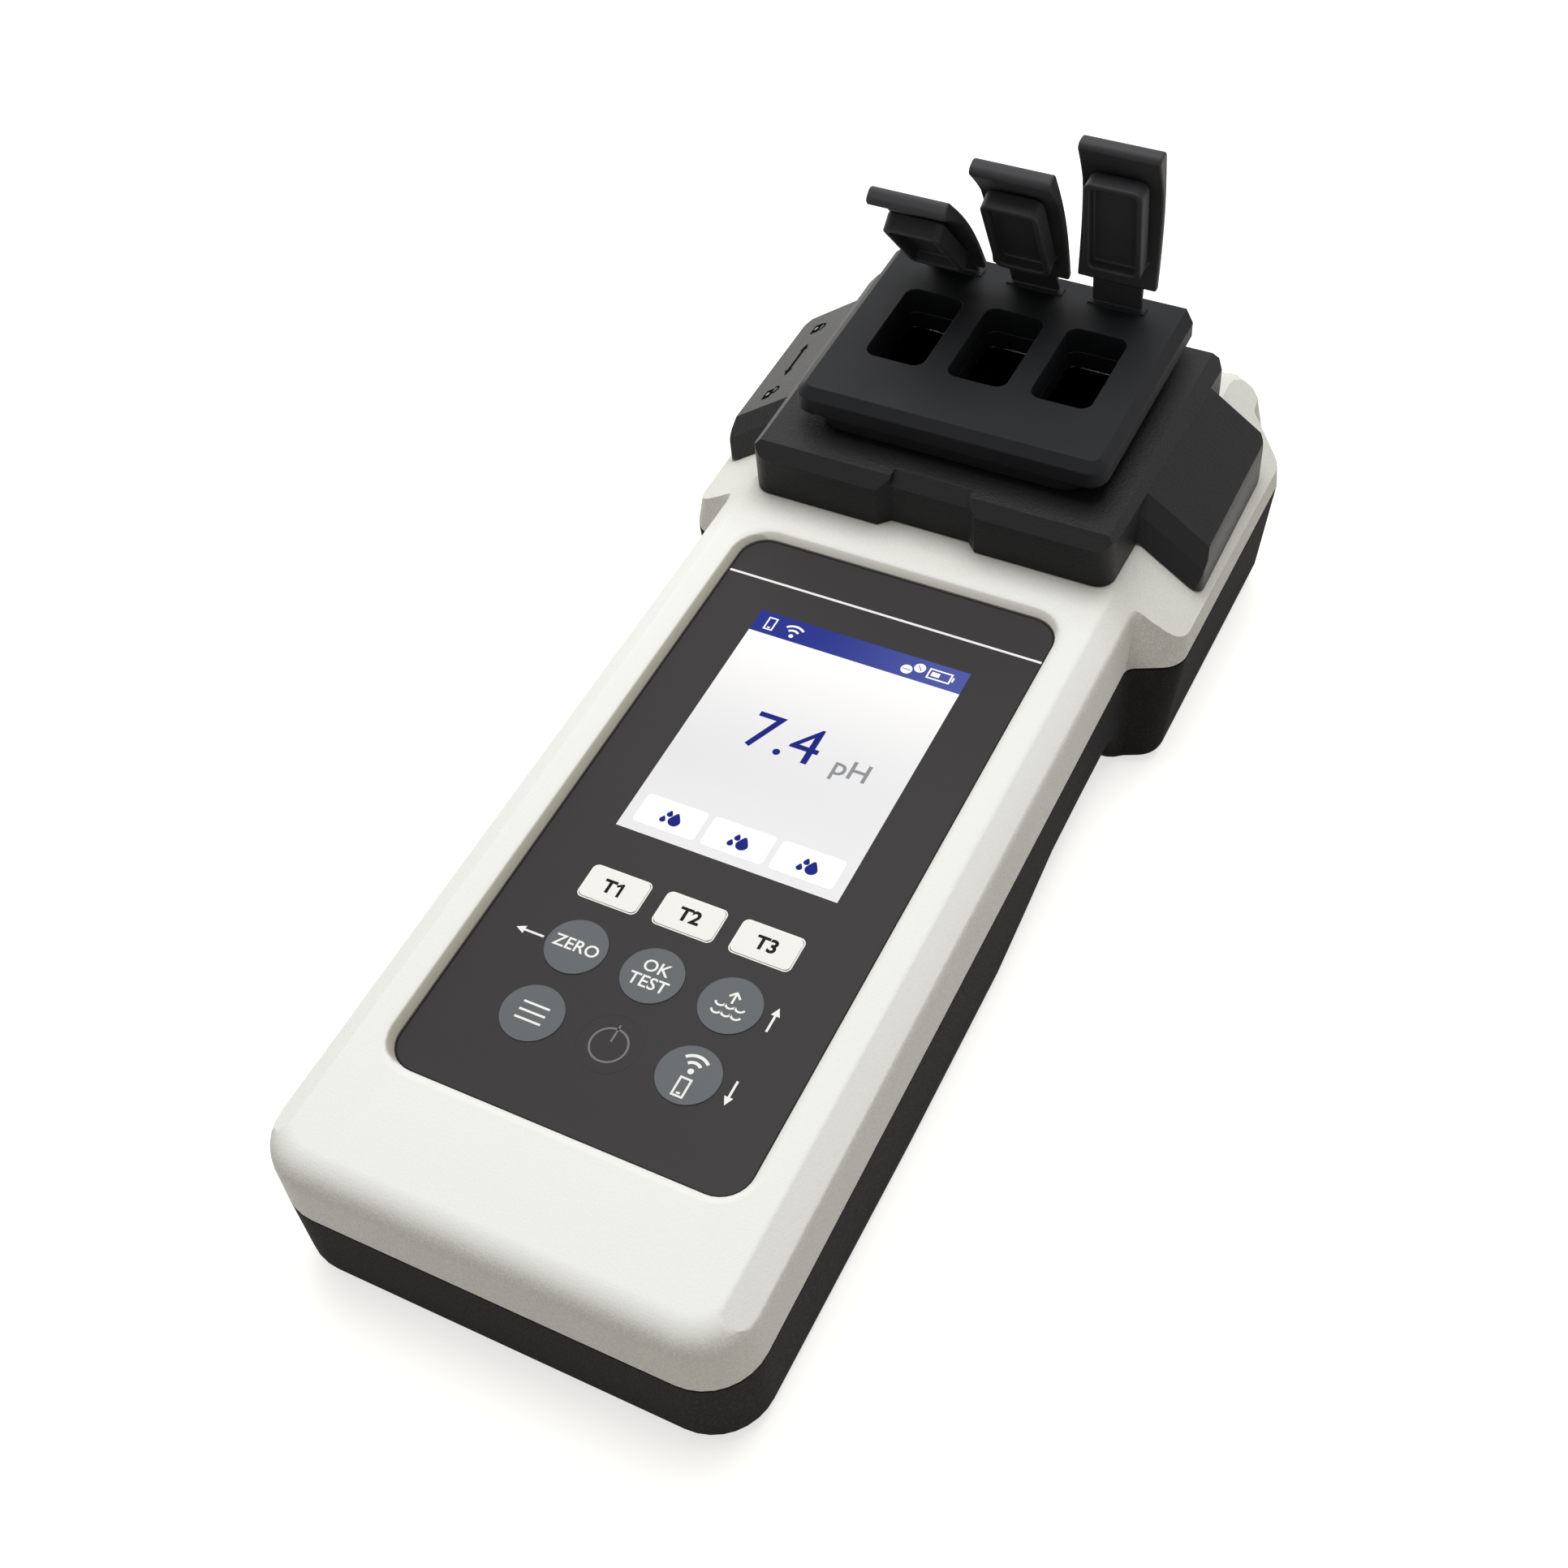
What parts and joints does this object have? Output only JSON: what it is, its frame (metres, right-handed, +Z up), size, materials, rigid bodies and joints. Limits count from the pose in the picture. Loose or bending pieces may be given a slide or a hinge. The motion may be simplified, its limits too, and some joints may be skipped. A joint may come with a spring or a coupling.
{
  "type": "digital pool water tester",
  "caption": "hand-held photometer with a colour display, membrane keys, a sliding light cover and three cuvette wells under hinged rubber caps",
  "frame": {"origin": "on the flat underside of the head, straight below the middle cuvette", "axes": "X to the right across the body, Y from the handle to the head, Z upwards out of the face"},
  "size_m": [0.091, 0.2058, 0.0849],
  "materials": {
    "ivory_shell": "fine moulded texture",
    "dark_shell": "fine moulded texture",
    "black_plastic": "plain",
    "cover_black": "semi matt",
    "cap_rubber": "matt",
    "seal_rubber": "matt",
    "screw_steel": "plain",
    "foil_print": "printed film",
    "clear_plastic": "clear",
    "lens_clear": "clear lens",
    "display_white": "lit display",
    "spacer_film": "film",
    "key_white": "printed film",
    "key_grey": "printed film",
    "board_green": "lacquered",
    "contact_metal": "nickel plated",
    "cell_metal": "metal jacket"
  },
  "bodies": {
    "instrument": {"top_housing": "ivory_shell", "bottom_housing": "dark_shell", "housing_seal": "seal_rubber", "housing_screws": "screw_steel", "front_foil": "foil_print", "display_window": "clear_plastic", "display_module": "display_white", "keypad_spacer": "spacer_film", "switch_sheet": "spacer_film", "main_board": "board_green", "board_screws": "screw_steel", "controller_chips": "black_plastic", "optical_block": "black_plastic", "led_board": "board_green", "led_emitters": "lens_clear", "sensor_board": "board_green", "photodiodes": "lens_clear", "battery_tray": "black_plastic", "battery_cells": "cell_metal", "battery_contacts": "contact_metal", "battery_door": "dark_shell", "door_seal": "seal_rubber", "door_screws": "screw_steel"},
    "light_cover": {"light_cover": "cover_black"},
    "cuvette_unit": {"cuvette_plate": "cap_rubber", "cuvette_carrier": "black_plastic", "cuvette_1": "clear_plastic", "cuvette_2": "clear_plastic", "cuvette_3": "clear_plastic"},
    "cap_1": {"cap_1": "cap_rubber"},
    "cap_2": {"cap_2": "cap_rubber"},
    "cap_3": {"cap_3": "cap_rubber"},
    "key_t1": {"key_t1": "key_white"},
    "key_t2": {"key_t2": "key_white"},
    "key_t3": {"key_t3": "key_white"},
    "key_zero": {"key_zero": "key_grey"},
    "key_test": {"key_test": "key_grey"},
    "key_sample": {"key_sample": "key_grey"},
    "key_menu": {"key_menu": "key_grey"},
    "key_power": {"key_power": "key_grey"},
    "key_link": {"key_link": "key_grey"}
  },
  "joints": [
    {"name": "cover_slide", "type": "slide", "parent": "instrument", "child": "light_cover", "axis": [0, -1, 0], "range_m": [0, 0.0035]},
    {"name": "unit_lift", "type": "slide", "parent": "instrument", "child": "cuvette_unit", "axis": [0, 0, 1], "range_m": [0, 0.05]},
    {"name": "cap_hinge_1", "type": "hinge", "parent": "cuvette_unit", "child": "cap_1", "pos_m": [-0.0147, 0.0172, 0.0536], "axis": [-1, 0, 0], "range_deg": [-51.2, 53.8]},
    {"name": "cap_hinge_2", "type": "hinge", "parent": "cuvette_unit", "child": "cap_2", "pos_m": [0, 0.0172, 0.0536], "axis": [-1, 0, 0], "range_deg": [-67, 38]},
    {"name": "cap_hinge_3", "type": "hinge", "parent": "cuvette_unit", "child": "cap_3", "pos_m": [0.0147, 0.0172, 0.0536], "axis": [-1, 0, 0], "range_deg": [-84.6, 20.4]},
    {"name": "key_t1_press", "type": "slide", "parent": "instrument", "child": "key_t1", "axis": [0, 0, -1], "range_m": [0, 0.0004], "stiffness_N_per_m": 400},
    {"name": "key_t2_press", "type": "slide", "parent": "instrument", "child": "key_t2", "axis": [0, 0, -1], "range_m": [0, 0.0004], "stiffness_N_per_m": 400},
    {"name": "key_t3_press", "type": "slide", "parent": "instrument", "child": "key_t3", "axis": [0, 0, -1], "range_m": [0, 0.0004], "stiffness_N_per_m": 400},
    {"name": "key_zero_press", "type": "slide", "parent": "instrument", "child": "key_zero", "axis": [0, 0, -1], "range_m": [0, 0.0004], "stiffness_N_per_m": 400},
    {"name": "key_test_press", "type": "slide", "parent": "instrument", "child": "key_test", "axis": [0, 0, -1], "range_m": [0, 0.0004], "stiffness_N_per_m": 400},
    {"name": "key_sample_press", "type": "slide", "parent": "instrument", "child": "key_sample", "axis": [0, 0, -1], "range_m": [0, 0.0004], "stiffness_N_per_m": 400},
    {"name": "key_menu_press", "type": "slide", "parent": "instrument", "child": "key_menu", "axis": [0, 0, -1], "range_m": [0, 0.0004], "stiffness_N_per_m": 400},
    {"name": "key_power_press", "type": "slide", "parent": "instrument", "child": "key_power", "axis": [0, 0, -1], "range_m": [0, 0.0004], "stiffness_N_per_m": 400},
    {"name": "key_link_press", "type": "slide", "parent": "instrument", "child": "key_link", "axis": [0, 0, -1], "range_m": [0, 0.0004], "stiffness_N_per_m": 400}
  ]
}
